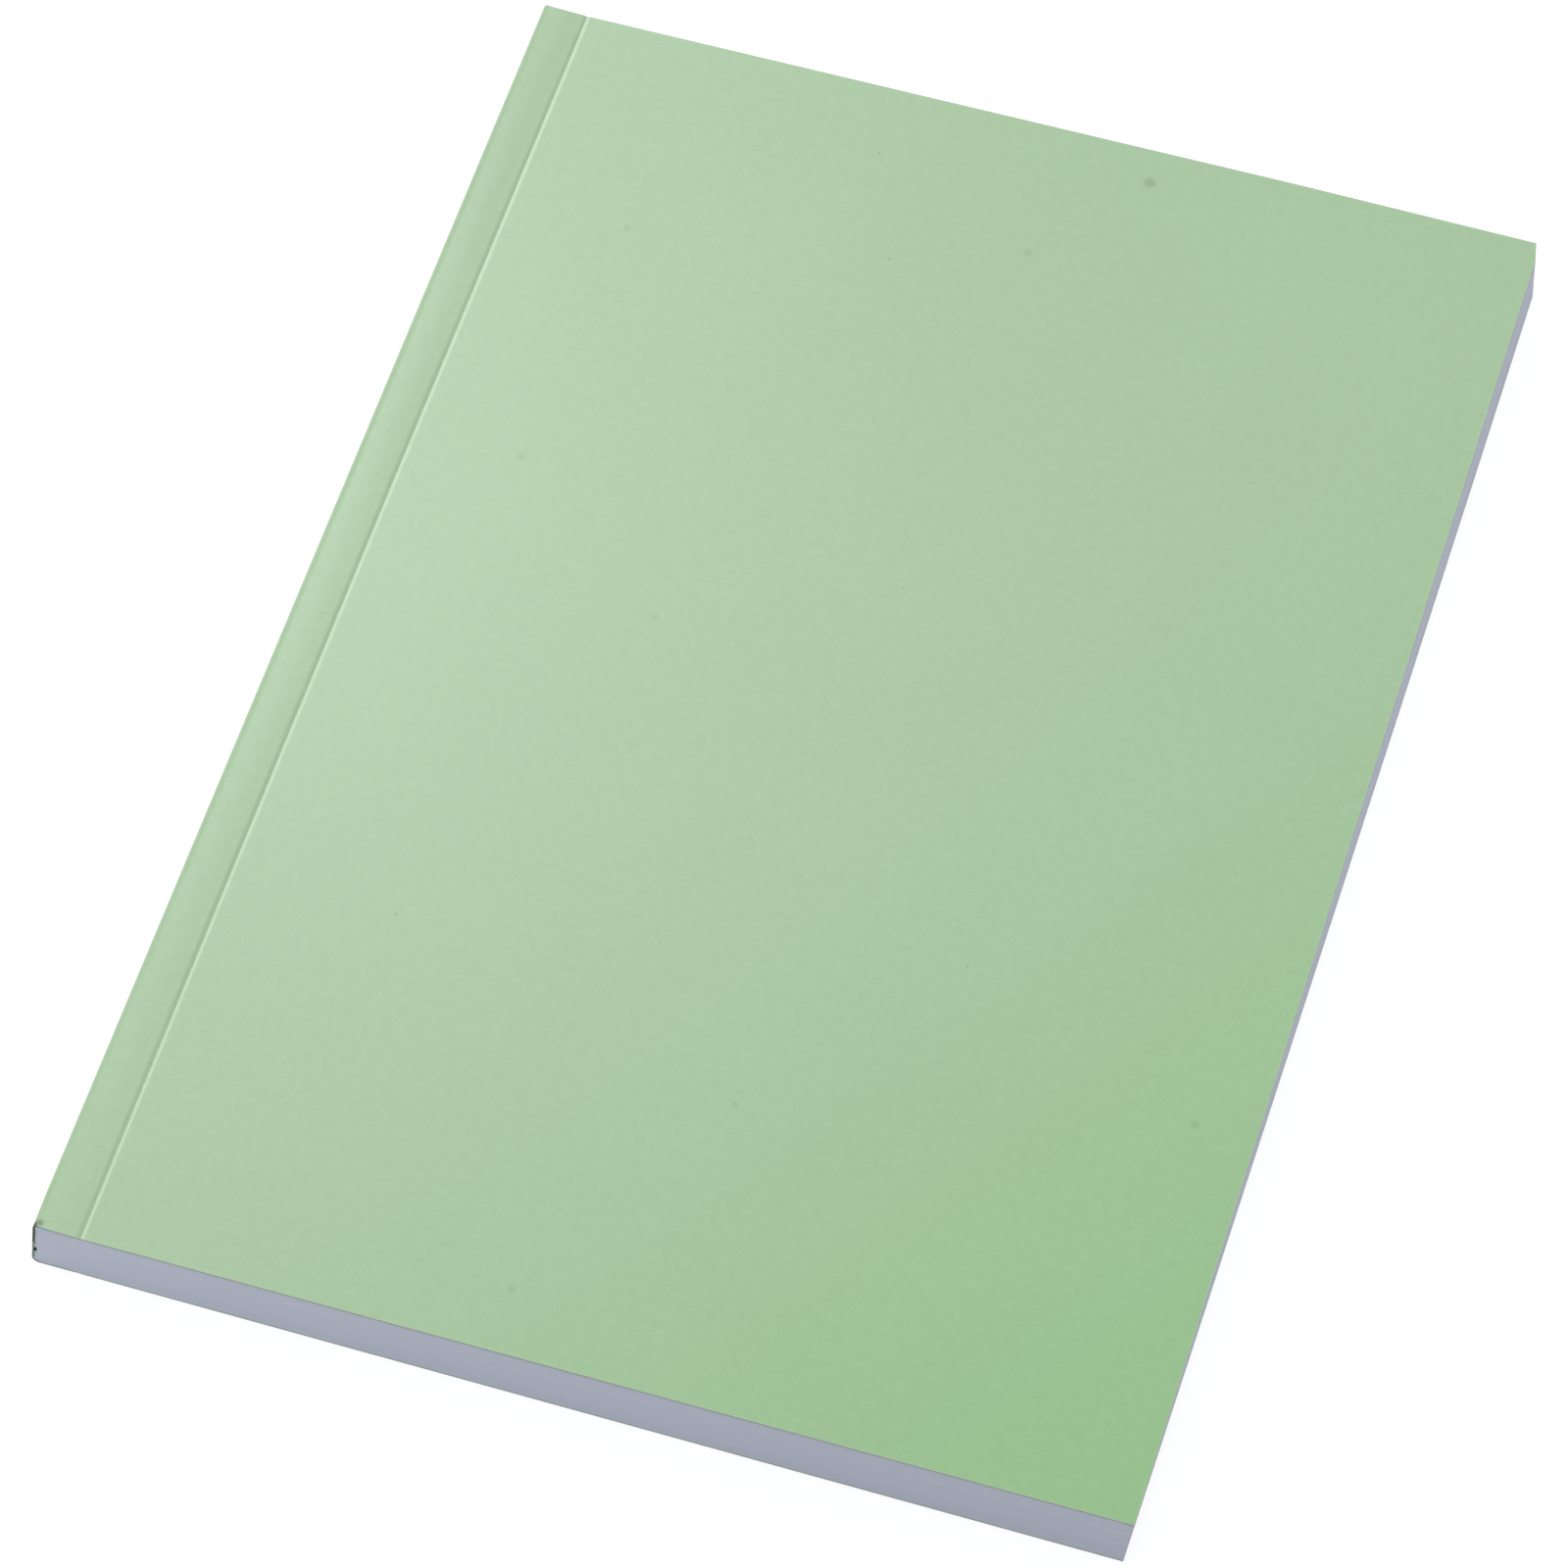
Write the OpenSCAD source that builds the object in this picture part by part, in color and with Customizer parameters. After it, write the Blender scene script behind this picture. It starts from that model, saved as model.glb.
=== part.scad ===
// Softcover notebook with a glued square spine, lying on its back cover.
// Spine at -X, fore edge at +X, head at +Y, tail at -Y, front cover up.
// The spine is pressed a little thinner than the fore edge, and the stack
// leans: at the tail the back face is drawn towards the spine.

/* [Pages] */
// Width of a page and of each cover, from the spine's outer face to the fore edge
page_w = 148; // [90:1:220]
// Height of a page, from tail to head
page_h = 210; // [120:1:300]
// Thickness over both covers at the spine
spine_t = 10; // [5:0.1:30]
// Thickness over both covers at the fore edge
fore_t = 11; // [5:0.1:32]
// How far the back face is drawn towards the spine at the tail
lean = 1.1; // [0:0.1:3]

/* [Cover] */
// Thickness of the cover card
card_t = 0.33; // [0.2:0.01:0.6]
// Clearance between each cover and the page it lies on
cover_gap = 0.02; // [0.01:0.01:0.04]
// Outer radius of the fold between the spine and the front
front_fold_r = 0.5; // [0.4:0.1:1.6]
// Outer radius of the fold between the spine and the back
back_fold_r = 1.2; // [0.8:0.1:1.6]

/* [Hinge score] */
// Distance from the spine's outer face to the middle of the pressed score
score_at = 6.4; // [5:0.1:12]
// Width of the pressed score
score_w = 1.3; // [0.8:0.1:2.4]
// Depth of the pressed score
score_d = 0.11; // [0.05:0.01:0.15]

/* [Glue] */
// Thickness of the glue on the spine
glue_t = 0.4; // [0.2:0.05:0.8]
// Thickness of the side glue, on the first and the last page
side_glue_t = 0.08; // [0.04:0.01:0.1]
// How far the side glue stops short of the score
side_glue_gap = 0.8; // [0.2:0.1:2]

/* [Hidden] */

card_color = [0.62, 0.76, 0.60];
page_color = [0.93, 0.93, 0.94];
glue_color = [0.80, 0.82, 0.84];

// Stretches along the height, over which the lean grows evenly
lean_steps = 8;
// Steps in a quarter turn of a fold and in half a score
fold_steps = 8;
score_steps = 8;

// Where the side glue ends
glue_end = score_at - side_glue_gap;
// Radii inside the card at each fold, and inside the glue there. A sharp fold
// in thick card keeps these least radii.
least_glue_r = 0.1;
least_page_r = 0.05;
front_glue_r = max(least_glue_r, front_fold_r - card_t);
back_glue_r = max(least_glue_r, back_fold_r - card_t);
front_page_r = max(least_page_r, front_glue_r - side_glue_t);
back_page_r = max(least_page_r, back_glue_r - side_glue_t);
// The page block starts behind the card and the glue of the spine, and lies
// this far inside the outer face of each cover
page_start = card_t + glue_t;
page_inset = card_t + cover_gap;
// Angle of the leaning back cover in plan
lean_angle = atan(lean / page_h);
// How far the spine stands out at the tail, just above the back fold
lean_out = lean * lean_share([0, back_fold_r]);
// The spine's outer face at the head, with the whole part centred on the origin
spine_x = lean_out - (page_w + lean_out) / 2;

// Height of the front face at a distance u from the spine
function top(u) = spine_t + (fore_t - spine_t) * u / page_w;

// A section is a list of [u, z], with u measured from the spine.
// front() is a point a depth d below the front face.
function front(u, d = 0) = [u, top(u) - d];

// Share of the lean that a point takes: 0 in the front cover, 1 in the back cover
function lean_share(p) =
    let (inside = top(p[0]) - 2 * card_t)
    min(1, max(0, (top(p[0]) - card_t - p[1]) / inside));

// Depth of the score at a distance x from its middle, and the distances that
// the sections take from there to its shoulder
function score(x) = score_d * (1 + cos(360 * x / score_w)) / 2;
half_score = [for (i = [0:score_steps]) score_w / 2 * i / score_steps];

// Corner arcs at the front and the back of the spine, with the outermost
// point at a distance u0 from the spine's face and d0 inside the card's face
function front_arc(u0, d0, r) =
    [for (i = [0:fold_steps]) let (a = 90 * i / fold_steps)
        front(u0 + r * (1 - sin(a)), d0 + r * (1 - cos(a)))];
function back_arc(u0, d0, r) =
    [for (i = [0:fold_steps]) let (a = 90 * i / fold_steps)
        [u0 + r * (1 - cos(a)), d0 + r * (1 - sin(a))]];

function reversed(list) = [for (i = [len(list) - 1:-1:0]) list[i]];

// Point of a section at station s, from the head (0) to the tail (lean_steps)
function placed(p, s) =
    [spine_x + p[0] - lean * lean_share(p) * s / lean_steps,
     page_h * (0.5 - s / lean_steps),
     p[1]];

// The two triangles between points i and j of one station and the next.
// The diagonal always climbs from head to tail, so that touching pieces agree.
function side(section, i, j, s) =
    let (n = len(section), a = s * n + i, b = s * n + j, c = a + n, d = b + n)
    section[i][1] <= section[j][1]
        ? [[a, d, b], [a, c, d]]
        : [[a, c, b], [b, c, d]];

// A section carried from the head to the tail with the lean. The cells are the
// flat faces that fill the section at the head, as lists of its points.
module leaning(section, cells) {
    n = len(section);
    points = [for (s = [0:lean_steps], p = section) placed(p, s)];
    tail_cells = [for (cell = cells) [for (i = reversed(cell)) lean_steps * n + i]];
    sides = [for (s = [0:lean_steps - 1], i = [0:n - 1])
        each side(section, i, (i + 1) % n, s)];
    polyhedron(points, concat(cells, tail_cells, sides), convexity = 4);
}

// A bent band between an outer and an inner path of as many points
module leaning_band(outer, inner) {
    section = concat(outer, reversed(inner));
    last = len(section) - 1;
    leaning(section, [for (i = [0:len(outer) - 2]) [i, i + 1, last - i - 1, last - i]]);
}

// A section carried straight along the height
module straight(section, length) {
    rotate([90, 0, 0])
        linear_extrude(length, center = true)
            polygon(section);
}

module page_block() {
    section = concat(
        front_arc(page_start, card_t + side_glue_t, front_page_r),
        back_arc(page_start, card_t + side_glue_t, back_page_r),
        [[glue_end, card_t + side_glue_t],
         [glue_end, page_inset],
         [page_w, page_inset],
         front(page_w, page_inset),
         front(glue_end, page_inset),
         front(glue_end, card_t + side_glue_t)]);
    color(page_color)
        leaning(section, [[for (i = [0:len(section) - 1]) i]]);
}

module spine_glue() {
    color(glue_color)
        leaning_band(
            concat(
                [front(glue_end, card_t)],
                front_arc(card_t, card_t, front_glue_r),
                back_arc(card_t, card_t, back_glue_r),
                [[glue_end, card_t]]),
            concat(
                [front(glue_end, card_t + side_glue_t)],
                front_arc(page_start, card_t + side_glue_t, front_page_r),
                back_arc(page_start, card_t + side_glue_t, back_page_r),
                [[glue_end, card_t + side_glue_t]]));
}

// The cover's middle: spine panel, both folds and the strips up to the scores
module spine_wrap() {
    color(card_color)
        leaning_band(
            concat(
                [for (x = half_score) front(score_at - x, score(x))],
                front_arc(0, 0, front_fold_r),
                back_arc(0, 0, back_fold_r),
                [for (x = reversed(half_score)) [score_at - x, score(x)]]),
            concat(
                [for (x = half_score) front(score_at - x, card_t)],
                front_arc(card_t, card_t, front_glue_r),
                back_arc(card_t, card_t, back_glue_r),
                [for (x = reversed(half_score)) [score_at - x, card_t]]));
}

module front_cover() {
    color(card_color)
        translate([spine_x, 0, 0])
            straight(concat(
                [for (x = half_score) front(score_at + x, score(x))],
                [front(page_w),
                 front(page_w, card_t),
                 front(score_at, card_t)]), page_h);
}

// The back cover turns with the lean in plan and is cut square at head and tail
module back_cover() {
    color(card_color)
        intersection() {
            translate([spine_x, page_h / 2, 0])
                rotate([0, 0, -lean_angle])
                    translate([0, -page_h / 2, 0])
                        straight(concat(
                            [for (x = half_score) [score_at + x, score(x)]],
                            [[page_w, 0],
                             [page_w, card_t],
                             [score_at, card_t]]), page_h + page_w);
            cube([2 * page_w, page_h, 2 * card_t], center = true);
        }
}

page_block();
spine_glue();
spine_wrap();
front_cover();
back_cover();
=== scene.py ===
"""Softcover notebook: leaves, card cover with pressed scores, and the stage it is shown on."""

import math
import random
from contextlib import contextmanager

import bmesh
import bpy
from bpy.props import FloatProperty, FloatVectorProperty, IntProperty, PointerProperty
from mathutils import Matrix, Vector


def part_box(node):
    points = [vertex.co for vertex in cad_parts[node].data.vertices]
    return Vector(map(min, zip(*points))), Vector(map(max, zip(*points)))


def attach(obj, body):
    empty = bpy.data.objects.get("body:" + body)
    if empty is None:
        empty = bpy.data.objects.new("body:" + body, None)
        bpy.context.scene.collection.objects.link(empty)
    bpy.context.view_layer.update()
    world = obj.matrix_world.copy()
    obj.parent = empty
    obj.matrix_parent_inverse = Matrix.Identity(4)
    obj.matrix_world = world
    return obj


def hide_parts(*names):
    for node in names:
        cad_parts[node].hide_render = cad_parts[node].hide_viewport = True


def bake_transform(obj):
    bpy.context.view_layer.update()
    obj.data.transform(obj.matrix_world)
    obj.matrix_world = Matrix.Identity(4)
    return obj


bl_info = {
    "name": "Softcover notebook",
    "version": (1, 0, 0),
    "blender": (4, 5, 0),
    "location": "View3D > Sidebar > Notebook",
    "description": "Models a glued softcover notebook with a scored card cover",
    "category": "Object",
}

MM = 0.001

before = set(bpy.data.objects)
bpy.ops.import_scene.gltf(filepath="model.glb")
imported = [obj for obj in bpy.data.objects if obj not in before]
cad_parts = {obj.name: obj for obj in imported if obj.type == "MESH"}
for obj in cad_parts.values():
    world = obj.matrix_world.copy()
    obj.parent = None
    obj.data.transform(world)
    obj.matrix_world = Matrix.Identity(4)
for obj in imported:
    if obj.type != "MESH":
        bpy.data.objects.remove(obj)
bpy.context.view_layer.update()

# The CAD pieces that the sizes are worked out from
front_low, front_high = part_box("front_cover")
back_low, back_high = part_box("back_cover")
block_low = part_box("page_block")[0]
glue_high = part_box("spine_glue")[1]


class NotebookSizes(bpy.types.PropertyGroup):
    """Sizes of the notebook that the frame's boxes don't give"""

    page_width: FloatProperty(
        name="Page width", description="From the spine's outer face to the fore edge",
        default=148 * MM, min=0.09, unit="LENGTH")
    front_fold: FloatProperty(
        name="Front fold", description="Outer radius of the fold at the front cover",
        default=0.5 * MM, min=0.0, unit="LENGTH")
    back_fold: FloatProperty(
        name="Back fold", description="Outer radius of the fold at the back cover",
        default=1.2 * MM, min=0.0, unit="LENGTH")
    score_width: FloatProperty(
        name="Score width", description="Width of the pressed hinge score",
        default=1.3 * MM, min=0.0, unit="LENGTH")
    score_depth: FloatProperty(
        name="Score depth", description="Depth of the pressed hinge score",
        default=0.11 * MM, min=0.0, unit="LENGTH")
    raised_fold: FloatProperty(
        name="Raised fold", description="How far the glue lifts the card at the front fold",
        default=0.25 * MM, min=0.0, unit="LENGTH")
    bend_width: FloatProperty(
        name="Bend width", description="Width of card that bends as a cover opens",
        default=1.6 * MM, min=0.0, unit="LENGTH")
    crushed_fold: FloatProperty(
        name="Crushed fold", description="Outer radius of the front fold at the worn tail end",
        default=0.9 * MM, min=0.0, unit="LENGTH")
    crushed_length: FloatProperty(
        name="Crushed length", description="Length of the front fold that is worn rounder",
        default=5 * MM, min=0.0, unit="LENGTH")
    glue_thickness: FloatProperty(
        name="Glue thickness", description="Hot-melt glue between the spine card and the leaves",
        default=0.4 * MM, min=0.0, unit="LENGTH")
    side_glue: FloatProperty(
        name="Side glue", description="Thickness of the glue on the first and last leaf",
        default=0.08 * MM, min=0.0, unit="LENGTH")
    cut_round: FloatProperty(
        name="Cut edge", description="Rounding of the card's trimmed outer edges",
        default=0.06 * MM, min=0.0, unit="LENGTH")
    corner_sag: FloatProperty(
        name="Corner sag", description="How far the front sags at the head's outer corner",
        default=0.5 * MM, min=0.0, unit="LENGTH")
    corner_rub: FloatProperty(
        name="Rubbed corner", description="Length rubbed off the fore edge at the head's corner",
        default=3.3 * MM, min=0.0, unit="LENGTH")
    leaves: IntProperty(
        name="Leaves", description="Leaves in the page block", default=96, min=10, max=400)
    leaf_groove: FloatProperty(
        name="Leaf groove", description="How far the gap between two leaves goes in",
        default=0.02 * MM, min=0.0, unit="LENGTH")
    leaf_stray: FloatProperty(
        name="Leaf stray", description="How far a leaf strays from the others",
        default=0.008 * MM, min=0.0, unit="LENGTH")


class NotebookColours(bpy.types.PropertyGroup):
    """Colours of the notebook's materials, as linear values"""

    card: FloatVectorProperty(
        name="Card", description="Through-dyed green card", subtype="COLOR", size=4,
        default=(0.350, 0.512, 0.301, 1.0))
    worn_card: FloatVectorProperty(
        name="Worn card", description="Rubbed fibres along the folds", subtype="COLOR", size=4,
        default=(0.470, 0.520, 0.400, 1.0))
    cut_card: FloatVectorProperty(
        name="Cut card", description="Trimmed edge of the card", subtype="COLOR", size=4,
        default=(0.500, 0.590, 0.460, 1.0))
    # Painted shade on the trimmed ends of the spine card
    spine_end_shade_card: FloatVectorProperty(
        name="Spine end shade", description="Painted shade on the trimmed ends of the spine card", subtype="COLOR",
        size=4, default=(0.220, 0.260, 0.170, 1.0))
    # Painted sheen: card colour where the sheen has fallen off, towards the fore edge at the tail
    card_past_sheen: FloatVectorProperty(
        name="Card past the sheen", description="Card where the painted sheen has fallen off", subtype="COLOR", size=4,
        default=(0.279, 0.496, 0.222, 1.0))
    fleck: FloatVectorProperty(
        name="Fleck", description="Dark specks and soft spots in the card", subtype="COLOR",
        size=4, default=(0.190, 0.300, 0.130, 1.0))
    # Painted shade in the darkest patches of the spine card's tail end
    deepest_edge_shade: FloatVectorProperty(
        name="Deepest edge shade", description="Painted shade in the darkest patches of the trimmed edge", subtype="COLOR",
        size=4, default=(0.040, 0.070, 0.030, 1.0))
    stain: FloatVectorProperty(
        name="Stain", description="Brown stains of old glue", subtype="COLOR", size=4,
        default=(0.085, 0.095, 0.045, 1.0))
    page: FloatVectorProperty(
        name="Page", description="White uncoated writing paper", subtype="COLOR", size=4,
        default=(0.815, 0.850, 0.940, 1.0))
    page_gap: FloatVectorProperty(
        name="Page gap", description="Shade between two leaves", subtype="COLOR", size=4,
        default=(0.715, 0.750, 0.840, 1.0))
    # Painted shade in the hollow where the glue has come off
    hollow: FloatVectorProperty(
        name="Hollow", description="Painted shade in the hollow where the glue has come off", subtype="COLOR",
        size=4, default=(0.015, 0.025, 0.020, 1.0))
    glue: FloatVectorProperty(
        name="Glue", description="Milky hot-melt glue", subtype="COLOR", size=4,
        default=(0.600, 0.680, 0.740, 1.0))
    floor: FloatVectorProperty(
        name="Floor", description="White paper floor", subtype="COLOR", size=4,
        default=(0.300, 0.300, 0.300, 1.0))
    sky: FloatVectorProperty(
        name="Room light", description="Even light from all around", subtype="COLOR", size=4,
        default=(0.940, 0.970, 1.060, 1.0))


class Form:
    """The notebook as bound, square and even, before the press and the lean shape it."""

    def __init__(self, sizes):
        self.card = back_high.z
        self.tail = front_low.y
        self.head = front_high.y
        self.fore_x = front_high.x
        self.score_x = front_low.x
        self.spine_x = self.fore_x - sizes.page_width
        score_top = front_low.z + self.card
        rise = (front_high.z - score_top) / (self.fore_x - self.score_x)
        self.thick = score_top - rise * (self.score_x - self.spine_x)
        self.fore_rise = front_high.z - self.thick
        self.lean = front_low.x - back_low.x
        self.sag = sizes.corner_sag
        self.page_x = self.spine_x + self.card + sizes.glue_thickness
        self.page_low = block_low.z
        self.glue_x = glue_high.x


def score_depth_at(sizes, distance):
    """Depth of the score at a distance from its middle: a cosine, pressed in slightly sharper."""
    share = min(1, distance / (sizes.score_width / 2))
    return sizes.score_depth * ((1 + math.cos(math.pi * share)) / 2) ** 1.4


# How far the front score strays towards the fore edge, by height on the cover
SCORE_STRAY = [(-105 * MM, 0.22 * MM), (-100 * MM, 0.20 * MM), (-50 * MM, 0.02 * MM),
               (20 * MM, -0.04 * MM), (60 * MM, 0.05 * MM), (105 * MM, 0.12 * MM)]


def score_steps(sizes):
    """Distances of the cuts from the score's middle, over the score and the card that bends."""
    half = sizes.score_width / 2
    past = sizes.bend_width - half
    return [half * i / 8 for i in range(1, 9)] + [half + past * i / 9 for i in range(1, 10)]


# Modelling by hand

def select_alone(piece):
    """Makes a piece the active and only selected object."""
    bpy.ops.object.select_all(action="DESELECT")
    bpy.context.view_layer.objects.active = piece
    piece.select_set(True)


@contextmanager
def editing(piece):
    """Edit mode on one piece alone."""
    select_alone(piece)
    bpy.ops.object.mode_set(mode="EDIT")
    yield
    bpy.ops.object.mode_set(mode="OBJECT")


def pick(piece, kind, test):
    """Selects the VERT, EDGE or FACE elements of the edited piece that pass the test."""
    bpy.ops.mesh.select_mode(type=kind)
    bpy.ops.mesh.select_all(action="DESELECT")
    mesh = bmesh.from_edit_mesh(piece.data)
    for element in {"VERT": mesh.verts, "EDGE": mesh.edges, "FACE": mesh.faces}[kind]:
        if test(element):
            element.select_set(True)
    mesh.select_flush_mode()
    bmesh.update_edit_mesh(piece.data)


def start_box(name, low, high):
    """A box between two corners, with its object at the origin."""
    bpy.ops.object.select_all(action="DESELECT")
    low, high = Vector(low), Vector(high)
    bpy.ops.mesh.primitive_cube_add(size=1, location=(low + high) / 2, scale=high - low)
    piece = bpy.context.object
    piece.name = name
    piece.data.name = name
    bpy.ops.object.transform_apply(location=True, rotation=True, scale=True)
    return piece


def cut(axis, places):
    """Cuts the edited piece across an axis at each place."""
    normal = [0.0, 0.0, 0.0]
    normal["xyz".index(axis)] = 1.0
    for place in places:
        point = [place * n for n in normal]
        bpy.ops.mesh.select_all(action="SELECT")
        bpy.ops.mesh.bisect(plane_co=point, plane_no=normal)


def near(value, place):
    """Whether a measure is at a place, within a hundredth of a millimetre."""
    return abs(value - place) < 0.01 * MM


def along_height(edge):
    """Whether an edge runs from the tail to the head."""
    a, b = (v.co for v in edge.verts)
    return near(a.x, b.x) and near(a.z, b.z)


def apply_modifier(piece, kind, **settings):
    """Adds a modifier and applies it."""
    select_alone(piece)
    modifier = piece.modifiers.new(kind.lower(), kind)
    for name, value in settings.items():
        setattr(modifier, name, value)
    bpy.ops.object.modifier_apply(modifier=modifier.name)


# Cage points from the spine to the fore edge, and from the tail to the head
CAGE_COLUMNS = 5
CAGE_ROWS = 7


def add_cage(form):
    """A cage round the leaves: it rises to the fore edge and leans more and more to the tail."""
    low = Vector((form.spine_x, form.tail, form.card))
    high = Vector((form.fore_x, form.head, form.thick - form.card))
    bpy.ops.object.select_all(action="DESELECT")
    bpy.ops.object.add(type="LATTICE", location=(low + high) / 2)
    cage = bpy.context.object
    cage.name = "lean_cage"
    cage.scale = high - low
    cage.data.points_u, cage.data.points_v, cage.data.points_w = CAGE_COLUMNS, CAGE_ROWS, 2
    for name in ("interpolation_type_u", "interpolation_type_v", "interpolation_type_w"):
        setattr(cage.data, name, "KEY_LINEAR")
    for point in cage.data.points:
        to_fore, to_tail = point.co.x + 0.5, max(0, 0.5 - point.co.y)
        if point.co.z > 0:
            rise = form.fore_rise * to_fore
            if to_fore > 0.99 and to_tail < 0.01:
                rise -= form.sag
            point.co_deform.z += rise / cage.scale.z
        else:
            point.co_deform.x -= form.lean * to_tail ** 1.5 / cage.scale.x
    bpy.context.view_layer.update()
    return cage


def lean(piece, form):
    """Gives a square piece the rise to the fore edge and the lean at the tail."""
    with editing(piece):
        height = form.head - form.tail
        cut("y", [form.tail + height * i / (CAGE_ROWS - 1) for i in range(1, CAGE_ROWS - 1)])
        width = form.fore_x - form.spine_x
        cut("x", [form.spine_x + width * i / (CAGE_COLUMNS - 1)
                  for i in range(1, CAGE_COLUMNS - 1)])
    keep_place(piece)
    cage = add_cage(form)
    apply_modifier(piece, "LATTICE", object=cage)
    bpy.data.objects.remove(cage)


def page_corner(sizes, form, up):
    """Radius of the leaves' corner inside the front fold (up = 1) or the back fold (-1)."""
    fold = sizes.front_fold if up > 0 else sizes.back_fold
    return max(0.05 * MM, fold - form.card - sizes.side_glue)


def round_spine(piece, x, top, front_radius, bottom, back_radius, segments=8):
    """Rounds the two edges that run from tail to head at x."""
    with editing(piece):
        for z, radius in ((top, front_radius), (bottom, back_radius)):
            pick(piece, "EDGE", lambda e: along_height(e) and near(e.verts[0].co.x, x)
                 and near(e.verts[0].co.z, z))
            bpy.ops.mesh.bevel(offset=radius, segments=segments, affect="EDGES")


def is_trimmed_edge(edge, middle):
    """Whether an edge lies between the card's outer face and its trimmed head, tail or fore edge."""
    if len(edge.link_faces) != 2:
        return False
    trimmed = [f for f in edge.link_faces if abs(f.normal.y) > 0.9 or f.normal.x > 0.9]
    outer = [f for f in edge.link_faces if f not in trimmed]
    if not trimmed or not outer:
        return False
    # Where the spine card meets the front or back cover, its end isn't trimmed
    if trimmed[0].normal.x > 0.9 and trimmed[0].calc_center_median().x < 0:
        return False
    return outer[0].normal.dot(outer[0].calc_center_median() - middle) > 0


def rub_corner(piece, sizes, form):
    """Rubs off the corner between the head and the fore edge, more at the front than at the back."""
    rub = sizes.corner_rub
    front = Vector((form.fore_x, form.head - rub, form.thick))
    back = Vector((form.fore_x, form.head - 0.45 * rub, 0))
    # Up to the head, the rubbed face comes in by about a fifth of its length
    along = Vector((-0.21 * rub, rub, 0))
    normal = (back - front).cross(along).normalized()
    with editing(piece):
        bpy.ops.mesh.select_all(action="SELECT")
        bpy.ops.mesh.bisect(plane_co=front, plane_no=normal, use_fill=True, clear_outer=True)


def finish_surface(piece, material, angle=20.0):
    """Smooths the curved faces and gives the piece its material."""
    select_alone(piece)
    bpy.ops.object.shade_smooth_by_angle(angle=math.radians(angle))
    piece.data.materials.clear()
    piece.data.materials.append(material)


def keep_place(piece):
    """Stores each point's place at rest, so that the card's grain opens with the cover."""
    place = piece.data.attributes.new("place", "FLOAT_VECTOR", "POINT")
    for vertex, entry in zip(piece.data.vertices, place.data):
        entry.vector = vertex.co


def press_score(piece, sizes, form, side, face_z, inward):
    """Presses the half of the score on one side of its middle, on the face at face_z."""
    for distance in [0.0] + score_steps(sizes):
        depth = score_depth_at(sizes, distance)
        x = form.score_x + side * distance
        pick(piece, "VERT", lambda v: near(v.co.x, x)
             and abs(v.co.z - face_z) < form.card / 2)
        bpy.ops.transform.translate(value=(0, 0, inward * depth))


def stray_score(piece, sizes, form, side):
    """Lets the pressed front score stray a little along its length."""
    half = sizes.score_width / 2
    for y, stray in SCORE_STRAY:
        # The first to move is the cut that the others move towards
        distances = sorted([0.0] + score_steps(sizes), reverse=stray * side > 0)
        for distance in distances:
            x = form.score_x + side * distance
            share = min(1, (sizes.bend_width - distance) / (sizes.bend_width - half))
            pick(piece, "VERT", lambda v: near(v.co.y, y) and near(v.co.x, x)
                 and v.co.z > form.thick / 2)
            bpy.ops.transform.translate(value=(stray * share, 0, 0))


# Shader maths

class Value:
    """What a shader node puts out. A number can be used in a Python expression."""

    def __init__(self, net, socket):
        self.net = net
        self.socket = socket

    def math(self, operation, *values):
        """A Math node on the values."""
        return self.net.node("ShaderNodeMath", {"operation": operation},
                             dict(enumerate(values)))

    def __add__(self, other):
        return self.math("ADD", self, other)

    def __sub__(self, other):
        return self.math("SUBTRACT", self, other)

    def __rsub__(self, other):
        return self.math("SUBTRACT", other, self)

    def __mul__(self, other):
        return self.math("MULTIPLY", self, other)

    def __truediv__(self, other):
        return self.math("DIVIDE", self, other)

    __radd__ = __add__
    __rmul__ = __mul__

    def output(self, name):
        """Another output of the same node."""
        return Value(self.net, self.socket.node.outputs[name])

    def over(self, low, high):
        """0 below low, 1 above high, and a smooth step between them."""
        return self.net.node("ShaderNodeMapRange", {"interpolation_type": "SMOOTHSTEP"},
                             {"Value": self, "From Min": low, "From Max": high})

    def under(self, low, high):
        """1 below low, 0 above high, and a smooth step between them."""
        return 1 - self.over(low, high)


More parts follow.
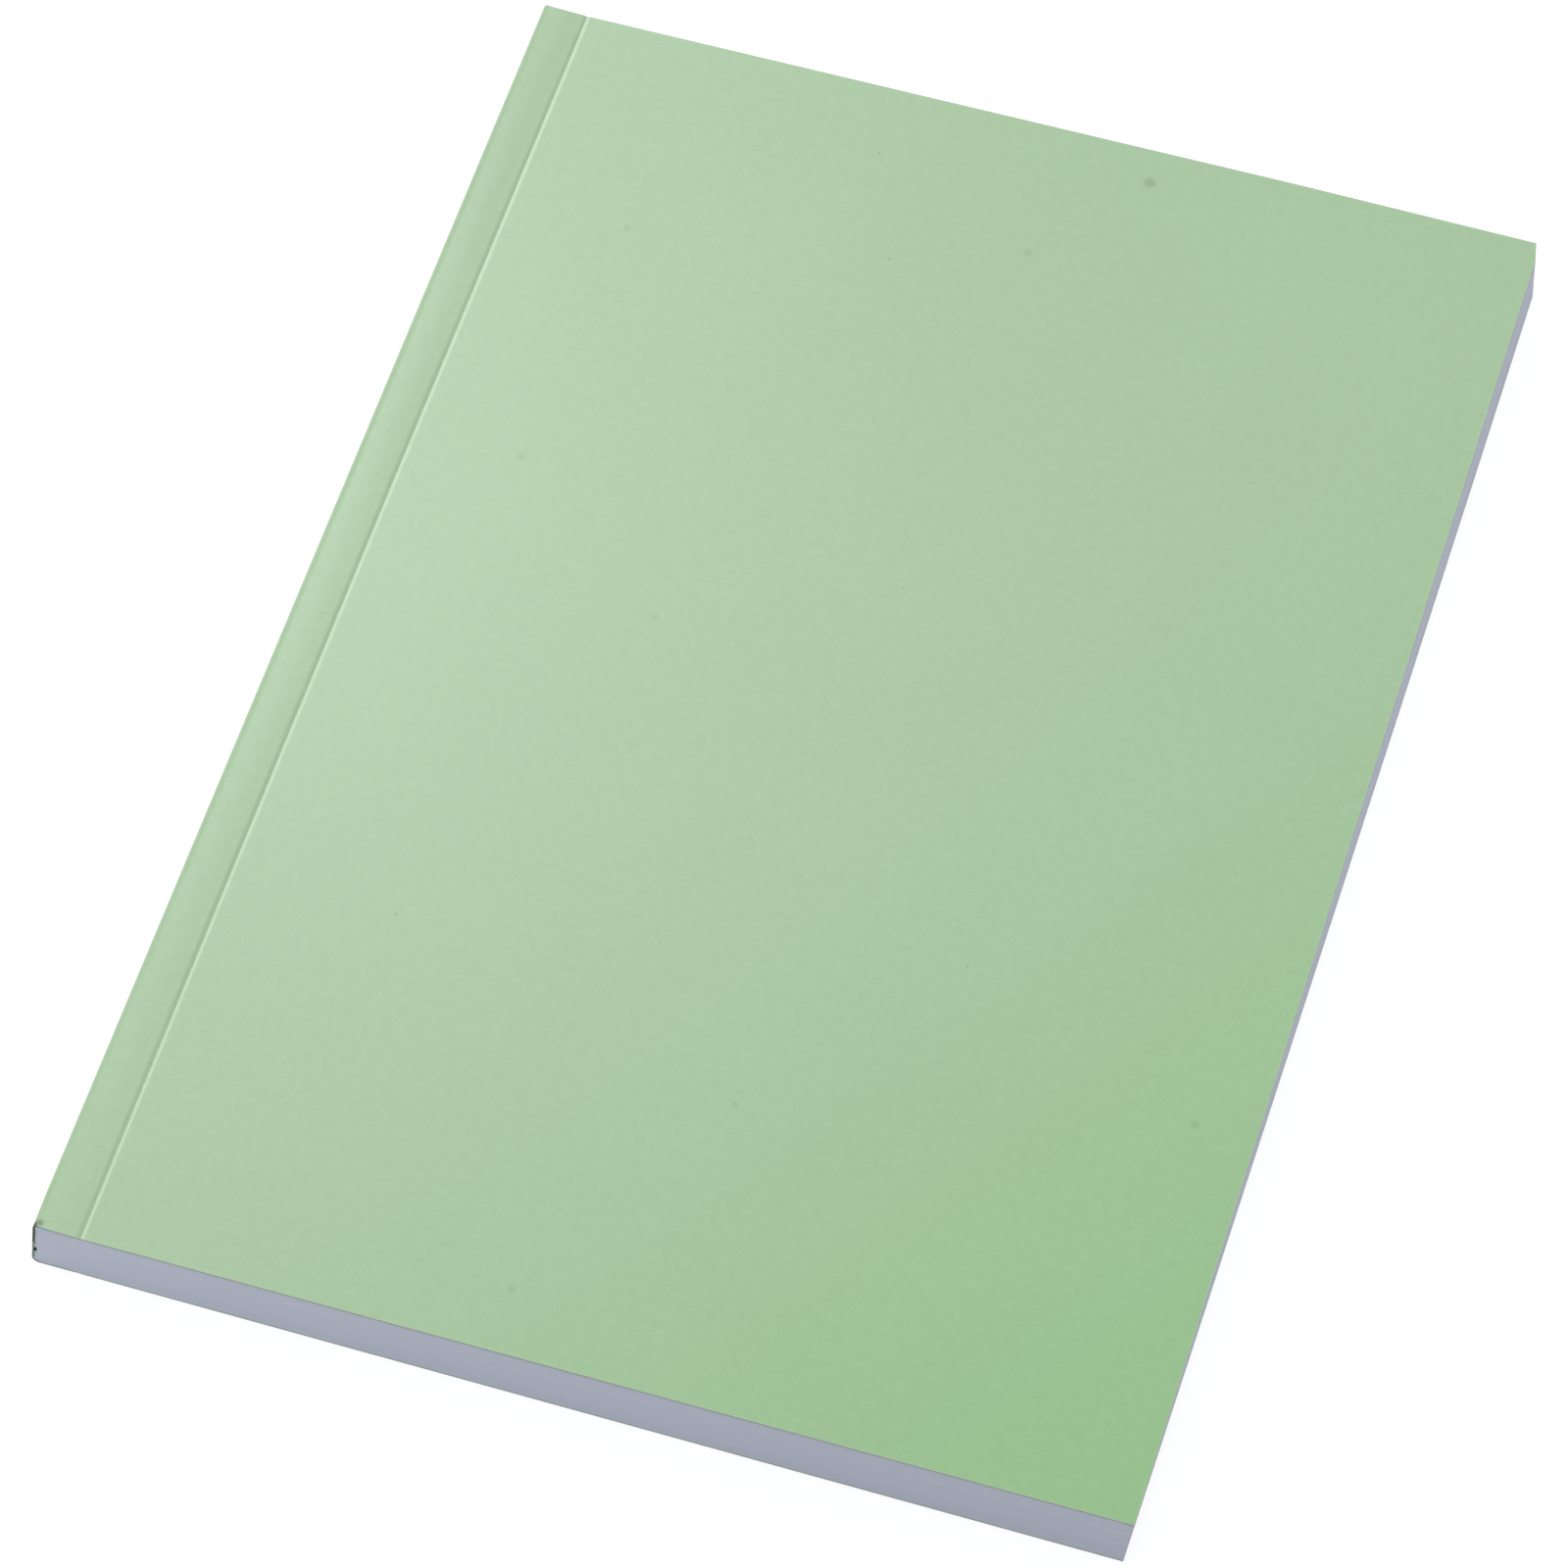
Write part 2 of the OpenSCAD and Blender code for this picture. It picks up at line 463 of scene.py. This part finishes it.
class Net:
    """The shader nodes of a material or of the room."""

    def __init__(self, owner):
        owner.use_nodes = True
        self.owner = owner
        self.tree = owner.node_tree

    def fill(self, socket, value):
        """Links a value to a socket, or sets the socket to a plain one."""
        if isinstance(value, Value):
            self.tree.links.new(value.socket, socket)
        else:
            socket.default_value = value

    def node(self, kind, settings, values, output=0):
        """A new node with its settings and sockets filled, as the value of one output."""
        made = self.tree.nodes.new(kind)
        for name, value in settings.items():
            setattr(made, name, value)
        for name, value in values.items():
            self.fill(made.inputs[name], value)
        return Value(self, made.outputs[output])

    def set(self, title, values):
        """Fills sockets of a node that the tree has from the start."""
        for name, value in values.items():
            self.fill(self.tree.nodes[title].inputs[name], value)

    def scaled(self, vector, factors):
        """A vector with each axis multiplied by its factor."""
        return self.node("ShaderNodeVectorMath", {"operation": "MULTIPLY"},
                         {0: vector, 1: factors})

    def distance(self, vector, factors, place):
        """Distance from a place, with each axis weighed by its factor."""
        weighed = tuple(p * f for p, f in zip(place, factors))
        return self.node("ShaderNodeVectorMath", {"operation": "DISTANCE"},
                         {0: self.scaled(vector, factors), 1: weighed}, "Value")

    def noise(self, vector, scale, detail, roughness):
        return self.node("ShaderNodeTexNoise", {},
                         {"Vector": vector, "Scale": scale, "Detail": detail,
                          "Roughness": roughness})

    def mix(self, factor, first, second):
        """first where the factor is 0, second where it is 1."""
        return self.node("ShaderNodeMix", {"data_type": "RGBA"},
                         {0: factor, 6: first, 7: second}, 2)

    def mix_shader(self, factor, first, second):
        return self.node("ShaderNodeMixShader", {}, {0: factor, 1: first, 2: second})

    def bump(self, height, strength, distance):
        return self.node("ShaderNodeBump", {},
                         {"Strength": strength, "Distance": distance, "Height": height})


def in_millimetres(net, place):
    """A place in metres, given in millimetres."""
    return net.scaled(place, (1 / MM, 1 / MM, 1 / MM))


def place_at_rest(net):
    """The place that keep_place stored, in millimetres."""
    place = net.node("ShaderNodeAttribute", {"attribute_name": "place"}, {}, "Vector")
    return in_millimetres(net, place)


def axes_of(net, vector):
    """The x, y and z of a vector."""
    x = net.node("ShaderNodeSeparateXYZ", {}, {"Vector": vector}, "X")
    return x, x.output("Y"), x.output("Z")


# Soft spots in the card: place on the front cover and radius, in millimetres, and strength
SOFT_SPOTS = [
    (18.9, 99.2, 1.3, 0.55),
    (5.9, 82.5, 0.9, 0.30),
    (-51.6, 28.5, 0.8, 0.25),
    (66.2, -47.0, 0.9, 0.28),
    (8.1, -61.5, 0.8, 0.25),
    (-49.6, 70.3, 0.8, 0.25),
    (-25.3, 8.5, 0.7, 0.20),
    (-11.2, -95.8, 0.8, 0.25),
]

# Painted shade in patches on the tail end of the spine card: distance from the spine, height,
# radius, strength
SPINE_END_SHADE_SPOTS = [
    (0.15, 7.6, 1.7, 0.65),
    (0.80, 0.45, 0.65, 0.85),
    (0.20, 2.3, 0.7, 0.35),
]

# Stains of old glue at the worn corner: place, radius and strength
STAINS = [
    (-72.66, -104.40, 0.80, 0.60),
    (-73.42, -104.75, 0.70, 0.85),
    (-73.10, -105.00, 0.45, 0.55),
]


def hollow_shade_mask(net, mm, form):
    """1 in the small hollow at the tail, where the glue has come off the spine card: the mask of its
    painted shade.
    """
    middle = (form.spine_x / MM + 0.45, form.tail / MM, 3.5)
    return net.distance(mm, (1.0, 1.0, 0.35), middle).under(0.17, 0.28)


def card_material(colours, form):
    """Satin green card: fine felt grain, cloudy dye, rare specks, worn folds and cut edges, with a
    painted sheen that falls off towards the fore edge, painted shade beside the spine, on the spine
    card's ends and in a hollow, and painted light at the fore edge.
    """
    net = Net(bpy.data.materials.new("green_card"))
    mm = place_at_rest(net)
    x, y, z = axes_of(net, mm)
    across = x - form.spine_x / MM
    to_fore = form.fore_x / MM - x
    to_end = form.head / MM - y.math("ABSOLUTE", y)
    front = z.over(5.0, 6.0)

    grain = net.noise(mm, 2.4, 3.0, 0.6)
    fibre = net.noise(net.scaled(mm, (0.9, 3.2, 2.0)), 1.3, 2.0, 0.55)
    cloud = net.noise(mm, 0.035, 3.0, 0.55)
    ragged = net.noise(net.scaled(mm, (1.4, 0.5, 1.0)), 1.0, 3.0, 0.6)

    # Painted sheen: the card is lighter towards the spine and the head, and richer towards the fore
    # edge at the tail, where the sheen falls off
    sheen_falloff = (x / (form.fore_x / MM) - y / (form.head / MM)) * 0.5
    colour = net.mix(sheen_falloff.over(0.05, 1.15), colours.card, colours.card_past_sheen)
    mottle = net.noise(mm, 0.7, 3.0, 0.7)
    # Painted shade on the strip beside the spine towards the head, where the card loses its sheen,
    # and painted light that lifts the card a touch towards the fore edge
    strip_shade = across.under(4.0, 7.0) * y.over(0.0, 95.0) * 0.05
    fore_edge_light = x.over(20.0, 75.0) * 0.010
    tone = (1 + (grain - 0.5) * 0.10 + (fibre - 0.5) * 0.05 + (mottle - 0.5) * 0.16
            + (cloud - 0.5) * 0.05 + fore_edge_light - strip_shade)
    colour = net.node("ShaderNodeVectorMath", {"operation": "SCALE"},
                      {0: colour, "Scale": tone})

    # Rare specks, then the soft spots
    specks = net.node("ShaderNodeTexVoronoi", {}, {"Vector": mm, "Scale": 0.16}, "Distance")
    chance = axes_of(net, specks.output("Color"))[0]
    spots = specks.under(0.02, 0.055) * chance.over(0.80, 0.90) * 0.45
    for spot_x, spot_y, radius, strength in SOFT_SPOTS:
        reach = net.distance(mm, (1.0, 1.0, 0.0), (spot_x, spot_y, 0.0))
        spots = spots + reach.under(0.25 * radius, radius) * strength * front
    colour = net.mix(spots, colour, colours.fleck)
    stains = 0
    for spot_x, spot_y, radius, strength in STAINS:
        reach = net.distance(mm, (1.0, 1.0, 0.0), (spot_x, spot_y, 0.0))
        stains = stains + reach.under(0.2 * radius, radius) * strength * front

    # Wear: the ridges of the folds, then a narrow border along the trimmed edges
    near_tail = y.under(form.tail / MM + 1.0, form.tail / MM + 12.0)
    at_folds = z.over(9.3, 9.7) + z.under(0.3, 0.7)
    ridge = across.under(0.30, 1.10) * at_folds
    rubbed = across.under(0.02, 0.24 + near_tail * 0.2) * at_folds
    colour = net.mix(ridge * (0.06 + near_tail * 0.22), colour, colours.fleck)
    border = to_end.under(0.15, 0.45) + to_fore.under(0.1, 0.3)
    worn = rubbed * (0.45 + near_tail * 0.4) + border * 0.20
    colour = net.mix(worn * ragged.over(0.30, 0.60), colour, colours.worn_card)

    # Trimmed edges, with painted shade on the spine card's trimmed ends
    trimmed = to_end.under(0.03, 0.11) + to_fore.under(0.03, 0.11)
    spine_end_shade = across.under(0.35, 1.2) * to_end.under(0.02, 0.06)
    colour = net.mix(trimmed, colour, colours.cut_card)
    colour = net.mix(spine_end_shade * (0.20 + ragged * 0.6), colour, colours.spine_end_shade_card)
    # Painted shade in dark patches on the spine card's tail end
    patches = 0
    for spot_across, spot_z, radius, strength in SPINE_END_SHADE_SPOTS:
        reach = net.distance(mm, (1.0, 0.0, 1.0), (form.spine_x / MM + spot_across, 0.0, spot_z))
        patches = patches + reach.under(0.3 * radius, radius) * strength
    patches = patches * to_end.under(0.02, 0.06) * y.under(-1.0, 1.0)
    colour = net.mix(stains, colour, colours.stain)
    colour = net.mix(patches, colour, colours.deepest_edge_shade)
    # Painted shade in the hollow at the tail where the glue has come off
    colour = net.mix(hollow_shade_mask(net, mm, form), colour, colours.hollow)

    height = grain * 0.6 + fibre * 0.4
    net.set("Principled BSDF",
            {"Base Color": colour,
             "Roughness": 0.33 + (grain - 0.5) * 0.10 + ridge * 0.3 + trimmed * 0.6,
             "Normal": net.bump(height, 0.25, 0.02 * MM),
             "Specular IOR Level": 0.6})
    return net.owner


def page_material(colours, leaf):
    """White paper: cut edges of the leaves with faint streaks, and a soft toothed face."""
    net = Net(bpy.data.materials.new("writing_paper"))
    mm = in_millimetres(net, net.node("ShaderNodeTexCoord", {}, {}, "Object"))
    streak = net.noise(net.scaled(mm, (0.02, 0.02, 1.0 / (leaf / MM))), 1.0, 3.0, 0.7)
    tooth = net.noise(mm, 3.0, 3.0, 0.6)
    colour = net.mix(streak.over(0.35, 0.75) * 0.35 + (tooth - 0.5) * 0.10,
                     colours.page, colours.page_gap)
    net.set("Principled BSDF",
            {"Base Color": colour,
             "Roughness": 0.85 + (tooth - 0.5) * 0.1,
             "Normal": net.bump(tooth * 0.5 + streak * 0.5, 0.3, 0.02 * MM),
             "Specular IOR Level": 0.3})
    return net.owner


def glue_material(colours, form):
    """Milky hot-melt with small bubbles, and painted shade in the hollow where it has come off the
    card.
    """
    net = Net(bpy.data.materials.new("hot_melt_glue"))
    mm = place_at_rest(net)
    bubble = net.noise(mm, 1.6, 2.0, 0.5)
    colour = net.mix(bubble.over(0.4, 0.7) * 0.4, colours.glue, colours.page)
    # Painted shade in the hollow where the glue has come off
    hollow = hollow_shade_mask(net, mm, form)
    colour = net.mix(hollow, colour, colours.hollow)
    net.set("Principled BSDF",
            {"Base Color": colour,
             "Roughness": 0.35 + bubble * 0.2 + hollow * 0.5,
             "Normal": net.bump(bubble, 0.3, 0.05 * MM)})
    return net.owner


def floor_material(colours):
    """White floor that keeps the shadow and shows white where it is lit."""
    net = Net(bpy.data.materials.new("white_floor"))
    net.tree.nodes.remove(net.tree.nodes["Principled BSDF"])
    lit = net.node("ShaderNodeBsdfDiffuse", {}, {"Color": colours.floor})
    glow = net.node("ShaderNodeEmission", {}, {"Strength": 0.80})
    both = net.node("ShaderNodeAddShader", {}, {0: lit, 1: glow})
    seen = net.node("ShaderNodeLightPath", {}, {}, "Is Camera Ray")
    seen = seen + seen.output("Is Glossy Ray") + seen.output("Is Transmission Ray")
    net.set("Material Output", {"Surface": net.mix_shader(seen, lit, both)})
    return net.owner


def finished_material(name, make, *values):
    """The material of that name, made on its first use."""
    return bpy.data.materials.get(name) or make(*values)


# Operators, one for each piece or group of like pieces

class NOTEBOOK_OT_leaves(bpy.types.Operator):
    """Model the page block leaf by leaf"""

    bl_idname = "notebook.leaves"
    bl_label = "Page block"

    def execute(self, context):
        sizes, colours = context.scene.notebook_sizes, context.scene.notebook_colours
        form = Form(sizes)
        inset = sizes.leaf_stray
        low = Vector((form.page_x, form.tail + inset, form.page_low))
        high = Vector((form.fore_x - inset, form.head - inset, form.thick - form.page_low))
        piece = start_box("page_leaves", low, high)
        leaf = (high.z - low.z) / sizes.leaves
        middle = (low + high) / 2
        round_spine(piece, low.x, high.z, page_corner(sizes, form, 1), low.z,
                    page_corner(sizes, form, -1), 6)
        with editing(piece):
            cut("x", [form.glue_x, form.glue_x + 0.3 * MM])
            # One cut at the middle of each leaf and one at each gap, where the edges draw in
            cut("z", [low.z + leaf * i / 2 for i in range(1, 2 * sizes.leaves)])
            pick(piece, "VERT", lambda v: round((v.co.z - low.z) / leaf, 3) % 1 == 0
                 and low.z + leaf / 4 < v.co.z < high.z - leaf / 4)
            size = high - low
            shrink = (1 - 2 * sizes.leaf_groove / size.x, 1 - 2 * sizes.leaf_groove / size.y, 1)
            bpy.ops.transform.resize(value=shrink, center_override=middle)
            # Each leaf strays a little from the others
            draw = random.Random(96)
            for i in range(sizes.leaves):
                z = low.z + leaf * (i + 0.5)
                stray = [draw.uniform(-1, 1) * sizes.leaf_stray for axis in "xy"]
                pick(piece, "VERT", lambda v: near(v.co.z, z))
                bpy.ops.transform.translate(value=(*stray, 0))
            # The first and last leaf lie lower where the side glue is
            drop = form.card + sizes.side_glue - form.page_low
            for z, inward in ((high.z, -1), (low.z, 1)):
                pick(piece, "VERT", lambda v: near(v.co.z, z)
                     and v.co.x < form.glue_x + 0.01 * MM)
                bpy.ops.transform.translate(value=(0, 0, inward * drop))
        rub_corner(piece, sizes, form)
        lean(piece, form)
        finish_surface(piece, finished_material("writing_paper", page_material, colours, leaf), 15.0)
        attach(piece, "block")
        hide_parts("page_block")
        return {"FINISHED"}


class NOTEBOOK_OT_spine(bpy.types.Operator):
    """Model the card round the spine, with both folds and half of each score"""

    bl_idname = "notebook.spine"
    bl_label = "Spine card"

    def execute(self, context):
        sizes, colours = context.scene.notebook_sizes, context.scene.notebook_colours
        form = Form(sizes)
        low = (form.spine_x, form.tail, 0)
        high = (form.score_x, form.head, form.thick)
        piece = start_box("spine_wrap_card", low, high)
        middle = Vector((form.score_x, 0, form.thick / 2))
        round_spine(piece, form.spine_x, form.thick, sizes.front_fold, 0, sizes.back_fold, 10)
        with editing(piece):
            # The front fold is crushed rounder at the tail
            cut("y", [form.tail + sizes.crushed_length])
            corner = Vector((form.spine_x, form.tail, form.thick))
            pick(piece, "VERT", lambda v: near(v.co.y, form.tail)
                 and (v.co - corner).length < 1.01 * sizes.front_fold)
            wider = sizes.crushed_fold / sizes.front_fold
            bpy.ops.transform.resize(value=(wider, 1, wider), center_override=corner)
            # The glue lifts the fold, a little more at the head
            pick(piece, "VERT", lambda v: v.co.z > form.thick / 2
                 and v.co.x < form.spine_x + 1.01 * sizes.crushed_fold)
            bpy.ops.transform.translate(value=(0, 0, sizes.raised_fold))
            pick(piece, "VERT", lambda v: near(v.co.y, form.head) and v.co.z > form.thick / 2
                 and v.co.x < form.spine_x + 1.01 * sizes.crushed_fold)
            bpy.ops.transform.translate(value=(0, 0, sizes.raised_fold / 3))
            # Only the wrapped faces stay, as the outer face of the card
            pick(piece, "FACE", lambda f: abs(f.normal.y) > 0.9 or f.normal.x > 0.9)
            bpy.ops.mesh.delete(type="FACE")
        apply_modifier(piece, "SOLIDIFY", thickness=form.card, offset=-1.0, use_even_offset=True)
        with editing(piece):
            cut("x", [form.score_x - step for step in score_steps(sizes)])
            cut("y", [y for y, stray in SCORE_STRAY[1:-1]])
            press_score(piece, sizes, form, -1, form.thick, -1)
            press_score(piece, sizes, form, -1, 0, 1)
            stray_score(piece, sizes, form, -1)
            pick(piece, "EDGE", lambda e: is_trimmed_edge(e, middle))
            bpy.ops.mesh.bevel(offset=sizes.cut_round, segments=2, affect="EDGES")
        lean(piece, form)
        finish_surface(piece, finished_material("green_card", card_material, colours, form))
        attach(piece, "block")
        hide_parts("spine_wrap")
        return {"FINISHED"}


class NOTEBOOK_OT_covers(bpy.types.Operator):
    """Model the front and back covers, cut in columns beside their scores where the card would bend
    as a cover opens
    """

    bl_idname = "notebook.covers"
    bl_label = "Covers"

    def execute(self, context):
        self.model(context, "front_cover", up=1)
        self.model(context, "back_cover", up=-1)
        return {"FINISHED"}

    def model(self, context, node, up):
        """Model one cover, with its outer face up (1) or down (-1)"""
        sizes, colours = context.scene.notebook_sizes, context.scene.notebook_colours
        form = Form(sizes)
        outer_z = form.thick if up > 0 else 0
        low_z, high_z = sorted((outer_z, outer_z - up * form.card))
        piece = start_box(node + "_card", (form.score_x, form.tail, low_z),
                          (form.fore_x, form.head, high_z))
        middle = Vector((0, 0, form.thick / 2))
        with editing(piece):
            cut("x", [form.score_x + step for step in score_steps(sizes)])
            cut("y", [y for y, stray in SCORE_STRAY[1:-1]])
            press_score(piece, sizes, form, 1, outer_z, -up)
            stray_score(piece, sizes, form, 1)
            pick(piece, "EDGE", lambda e: is_trimmed_edge(e, middle))
            bpy.ops.mesh.bevel(offset=sizes.cut_round, segments=2, affect="EDGES")
        rub_corner(piece, sizes, form)
        lean(piece, form)
        finish_surface(piece, finished_material("green_card", card_material, colours, form))
        # The back's hinge line is turned by the lean, and so is the strip that bends
        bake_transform(piece)
        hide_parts(node)


class NOTEBOOK_OT_glue(bpy.types.Operator):
    """Model the glue on the spine and on the first and last leaf, with its uneven ends"""

    bl_idname = "notebook.glue"
    bl_label = "Spine glue"

    def execute(self, context):
        sizes, colours = context.scene.notebook_sizes, context.scene.notebook_colours
        form = Form(sizes)
        card = form.card
        piece = start_box("spine_glue_bead", (form.spine_x + card, form.tail, card),
                          (form.glue_x, form.head, form.thick - card))
        round_spine(piece, form.spine_x + card, form.thick - card, sizes.front_fold - card,
                    card, sizes.back_fold - card)
        side = card + sizes.side_glue
        hollow = start_box("leaves_in_glue", (form.page_x, form.tail - card, side),
                           (form.glue_x + card, form.head + card, form.thick - side))
        round_spine(hollow, form.page_x, form.thick - side, page_corner(sizes, form, 1),
                    side, page_corner(sizes, form, -1))
        apply_modifier(piece, "BOOLEAN", operation="DIFFERENCE", solver="EXACT", object=hollow)
        bpy.data.objects.remove(hollow)
        draw = random.Random(7)
        with editing(piece):
            # At the tail and the head, each level of the glue is drawn in by its own amount
            steps = 24
            places = [form.thick * (i + draw.uniform(-0.3, 0.3)) / steps for i in range(1, steps)]
            cut("z", places)
            for y, inward in ((form.tail, 1), (form.head, -1)):
                for z in [card, *places, form.thick - card]:
                    drawn = inward * draw.uniform(0.02, 0.14) * MM
                    pick(piece, "VERT", lambda v: near(v.co.y, y) and near(v.co.z, z))
                    bpy.ops.transform.translate(value=(0, drawn, 0))
            pick(piece, "VERT", lambda v: v.co.z > form.thick - card - sizes.front_fold
                 and v.co.x < form.page_x - 0.01 * MM)
            bpy.ops.transform.translate(value=(0, 0, sizes.raised_fold))
        lean(piece, form)
        finish_surface(piece, finished_material("hot_melt_glue", glue_material, colours, form))
        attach(piece, "block")
        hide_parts("spine_glue")
        return {"FINISHED"}


# Square soft lights: name, place, side, power in watts and colour
SOFT_LIGHTS = [
    ("key_softbox", (-0.967, 0.694, 0.737), 0.72, 10.0, (1.0, 1.0, 1.0)),
    ("high_softbox", (-0.451, 0.721, 1.112), 0.25, 2.0, (1.0, 1.0, 1.0)),
    ("overhead_softbox", (0.25, -0.20, 1.50), 0.6, 5.6, (1.0, 0.99, 0.97)),
    ("far_softbox", (0.05, 0.80, 1.10), 0.4, 0.55, (1.0, 1.0, 1.0)),
    ("side_fill", (-0.42, -0.42, 0.13), 0.3, 0.55, (0.84, 0.92, 1.0)),
    ("fore_fill", (0.70, -0.05, 0.10), 0.3, 0.57, (0.92, 0.97, 1.0)),
]


def aim_light(name, location, side, power, colour):
    """A square soft light that faces the notebook."""
    bpy.ops.object.select_all(action="DESELECT")
    bpy.ops.object.light_add(type="AREA", location=location)
    lamp = bpy.context.object
    lamp.name = name
    lamp.data.shape = "SQUARE"
    lamp.data.size = side
    lamp.data.energy = power
    lamp.data.color = colour
    lamp.rotation_euler = (-Vector(location)).to_track_quat("-Z", "Y").to_euler()


class NOTEBOOK_OT_stage(bpy.types.Operator):
    """Add the floor, the lights, the room and the camera"""

    bl_idname = "notebook.stage"
    bl_label = "Stage"

    def execute(self, context):
        colours = context.scene.notebook_colours
        bpy.ops.object.select_all(action="DESELECT")
        bpy.ops.mesh.primitive_plane_add(size=8.0)
        floor = context.object
        floor.name = "floor"
        floor.data.materials.append(floor_material(colours))
        for light in SOFT_LIGHTS:
            aim_light(*light)
        self.light_room(context, colours)
        self.place_camera(context)
        context.scene.view_settings.view_transform = "Standard"
        return {"FINISHED"}

    def light_room(self, context, colours):
        """Even room light, shown as white behind the floor."""
        net = Net(bpy.data.worlds.new("room"))
        net.set("Background", {"Color": colours.sky, "Strength": 0.435})
        room = Value(net, net.tree.nodes["Background"].outputs[0])
        white = net.node("ShaderNodeBackground", {}, {"Color": (1.0, 1.0, 1.0, 1.0)})
        seen = net.node("ShaderNodeLightPath", {}, {}, "Is Camera Ray")
        net.set("World Output", {"Surface": net.mix_shader(seen, room, white)})
        context.scene.world = net.owner

    def place_camera(self, context):
        """The photograph's view: a long lens from high in front, a little to the right."""
        location = Vector((0.1580, -0.4961, 0.8124))
        target = Vector((-0.0027, -0.0059, 0.0))
        roll = -0.945
        bpy.ops.object.camera_add(location=location)
        camera = context.object
        camera.name = "camera"
        camera.data.lens = 162.5
        camera.data.sensor_width = 36.0
        aim = (target - location).to_track_quat("-Z", "Y").to_matrix().to_4x4()
        camera.matrix_world = (Matrix.Translation(location) @ aim
                               @ Matrix.Rotation(math.radians(roll), 4, "Z"))
        context.scene.camera = camera


class NOTEBOOK_PT_panel(bpy.types.Panel):
    """Sizes, colours and steps of the notebook"""

    bl_idname = "NOTEBOOK_PT_panel"
    bl_label = "Softcover notebook"
    bl_space_type = "VIEW_3D"
    bl_region_type = "UI"
    bl_category = "Notebook"

    def draw(self, context):
        for group in (context.scene.notebook_sizes, context.scene.notebook_colours):
            for name in group.__annotations__:
                self.layout.prop(group, name)
        for step in STEPS:
            self.layout.operator(step.bl_idname)


STEPS = (NOTEBOOK_OT_leaves, NOTEBOOK_OT_glue, NOTEBOOK_OT_spine, NOTEBOOK_OT_covers,
         NOTEBOOK_OT_stage)
CLASSES = (NotebookSizes, NotebookColours, *STEPS, NOTEBOOK_PT_panel)


def register():
    for cls in CLASSES:
        bpy.utils.register_class(cls)
    bpy.types.Scene.notebook_sizes = PointerProperty(type=NotebookSizes)
    bpy.types.Scene.notebook_colours = PointerProperty(type=NotebookColours)


def unregister():
    del bpy.types.Scene.notebook_colours
    del bpy.types.Scene.notebook_sizes
    for cls in reversed(CLASSES):
        bpy.utils.unregister_class(cls)


def main():
    register()
    bpy.ops.notebook.leaves()
    bpy.ops.notebook.glue()
    bpy.ops.notebook.spine()
    bpy.ops.notebook.covers()
    bpy.ops.notebook.stage()


if __name__ == "__main__":
    main()
